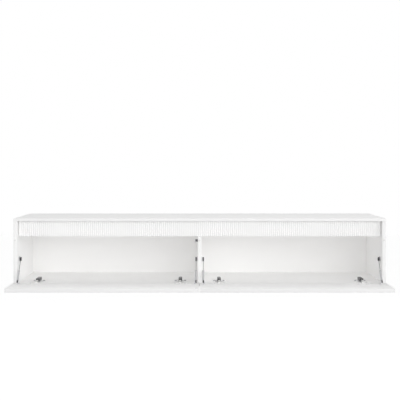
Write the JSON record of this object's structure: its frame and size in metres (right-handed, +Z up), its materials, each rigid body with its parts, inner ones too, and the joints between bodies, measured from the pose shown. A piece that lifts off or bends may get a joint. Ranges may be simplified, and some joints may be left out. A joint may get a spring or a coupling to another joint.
{
  "type": "wall-hung media console",
  "caption": "Long low wall-hung media console in white board with a reeded fascia over open drop-down flaps, a centre divider, flap hinges and sliding stays.",
  "frame": {"origin": "middle of the line of wall-screw holes, in the wall plane at the rear face of the hanging rail", "axes": "+X along the console to the viewer's right, +Y into the wall (the front faces -Y), +Z up; stored with both flaps open"},
  "size_m": [1.6, 0.665, 0.292],
  "materials": {
    "white_lacquer": "white satin lacquer on board",
    "white_hardboard": "white foil on hardboard",
    "dark_fitting": "dark satin",
    "white_plastic": "white",
    "zinc_steel": "zinc plated",
    "chrome_rod": "polished",
    "grey_tube": "silver grey",
    "black_plastic": "black",
    "beech": "plain beech",
    "clear_rubber": "translucent",
    "magnet": "dark ground face"
  },
  "bodies": {
    "cabinet": {"top_panel": "white_lacquer", "bottom_panel": "white_lacquer", "side_panel_left": "white_lacquer", "side_panel_right": "white_lacquer", "centre_divider": "white_lacquer", "back_panel": "white_hardboard", "hanging_rail": "white_lacquer", "front_rail": "white_lacquer", "fluted_fascia": "white_lacquer", "fascia_screws": "zinc_steel", "wood_dowels": "beech", "cam_bolts": "zinc_steel", "cam_housings": "zinc_steel", "hinge_pins": "zinc_steel", "hinge_plate_screws": "zinc_steel", "hinge_arm_screws": "zinc_steel", "stay_bracket_screws": "zinc_steel", "stay_brackets_outer": "black_plastic", "stay_brackets_inner": "black_plastic", "catch_body": "dark_fitting", "catch_magnet": "magnet", "catch_screws": "zinc_steel", "flap_bumpers": "clear_rubber", "hinge_arm_left_outer": "dark_fitting", "hinge_plate_left_outer": "dark_fitting", "hinge_arm_left_inner": "dark_fitting", "hinge_plate_left_inner": "dark_fitting", "hinge_arm_right_inner": "dark_fitting", "hinge_plate_right_inner": "dark_fitting", "hinge_arm_right_outer": "dark_fitting", "hinge_plate_right_outer": "dark_fitting"},
    "flap_left": {"flap_left": "white_lacquer", "flap_screws_left": "zinc_steel", "hinge_cup_left_outer": "white_plastic", "hinge_cup_left_inner": "white_plastic", "stay_flap_bracket_left_outer": "black_plastic", "stay_flap_bracket_left_inner": "black_plastic", "catch_strike": "zinc_steel"},
    "flap_right": {"flap_right": "white_lacquer", "flap_screws_right": "zinc_steel", "hinge_cup_right_inner": "white_plastic", "hinge_cup_right_outer": "white_plastic", "stay_flap_bracket_right_inner": "black_plastic", "stay_flap_bracket_right_outer": "black_plastic"},
    "stay_cylinder_left_outer": {"stay_cylinder_left_outer": "grey_tube", "stay_foot_left_outer": "grey_tube"},
    "stay_rod_left_outer": {"stay_rod_left_outer": "chrome_rod", "stay_head_left_outer": "black_plastic"},
    "stay_cylinder_left_inner": {"stay_cylinder_left_inner": "grey_tube", "stay_foot_left_inner": "grey_tube"},
    "stay_rod_left_inner": {"stay_rod_left_inner": "chrome_rod", "stay_head_left_inner": "black_plastic"},
    "stay_cylinder_right_inner": {"stay_cylinder_right_inner": "grey_tube", "stay_foot_right_inner": "grey_tube"},
    "stay_rod_right_inner": {"stay_rod_right_inner": "chrome_rod", "stay_head_right_inner": "black_plastic"},
    "stay_cylinder_right_outer": {"stay_cylinder_right_outer": "grey_tube", "stay_foot_right_outer": "grey_tube"},
    "stay_rod_right_outer": {"stay_rod_right_outer": "chrome_rod", "stay_head_right_outer": "black_plastic"}
  },
  "joints": [
    {"name": "flap_left_hinge", "type": "hinge", "parent": "cabinet", "child": "flap_left", "pos_m": [-0.4, -0.46, -0.232], "axis": [-1, 0, 0], "range_deg": [0, 90]},
    {"name": "flap_right_hinge", "type": "hinge", "parent": "cabinet", "child": "flap_right", "pos_m": [0.4, -0.46, -0.232], "axis": [-1, 0, 0], "range_deg": [0, 90]},
    {"name": "stay_turn_left_outer", "type": "hinge", "parent": "flap_left", "child": "stay_cylinder_left_outer", "pos_m": [-0.7765, -0.484, -0.216], "axis": [-1, 0, 0], "range_deg": [-105.31, 0]},
    {"name": "stay_slide_left_outer", "type": "slide", "parent": "stay_cylinder_left_outer", "child": "stay_rod_left_outer", "axis": [0, 0.6823, 0.7311], "range_m": [-0.03025, 0]},
    {"name": "stay_turn_left_inner", "type": "hinge", "parent": "flap_left", "child": "stay_cylinder_left_inner", "pos_m": [-0.0155, -0.484, -0.216], "axis": [-1, 0, 0], "range_deg": [-105.31, 0]},
    {"name": "stay_slide_left_inner", "type": "slide", "parent": "stay_cylinder_left_inner", "child": "stay_rod_left_inner", "axis": [0, 0.6823, 0.7311], "range_m": [-0.03025, 0]},
    {"name": "stay_turn_right_inner", "type": "hinge", "parent": "flap_right", "child": "stay_cylinder_right_inner", "pos_m": [0.0155, -0.484, -0.216], "axis": [-1, 0, 0], "range_deg": [-105.31, 0]},
    {"name": "stay_slide_right_inner", "type": "slide", "parent": "stay_cylinder_right_inner", "child": "stay_rod_right_inner", "axis": [0, 0.6823, 0.7311], "range_m": [-0.03025, 0]},
    {"name": "stay_turn_right_outer", "type": "hinge", "parent": "flap_right", "child": "stay_cylinder_right_outer", "pos_m": [0.7765, -0.484, -0.216], "axis": [-1, 0, 0], "range_deg": [-105.31, 0]},
    {"name": "stay_slide_right_outer", "type": "slide", "parent": "stay_cylinder_right_outer", "child": "stay_rod_right_outer", "axis": [0, 0.6823, 0.7311], "range_m": [-0.03025, 0]}
  ],
  "couplings": [
    {"joint": "stay_turn_left_outer", "follows": "flap_left_hinge", "ratio": -1.1645},
    {"joint": "stay_slide_left_outer", "follows": "flap_left_hinge", "m_per_rad": -0.019131},
    {"joint": "stay_turn_left_inner", "follows": "flap_left_hinge", "ratio": -1.1645},
    {"joint": "stay_slide_left_inner", "follows": "flap_left_hinge", "m_per_rad": -0.019131},
    {"joint": "stay_turn_right_inner", "follows": "flap_right_hinge", "ratio": -1.1645},
    {"joint": "stay_slide_right_inner", "follows": "flap_right_hinge", "m_per_rad": -0.019131},
    {"joint": "stay_turn_right_outer", "follows": "flap_right_hinge", "ratio": -1.1645},
    {"joint": "stay_slide_right_outer", "follows": "flap_right_hinge", "m_per_rad": -0.019131}
  ]
}
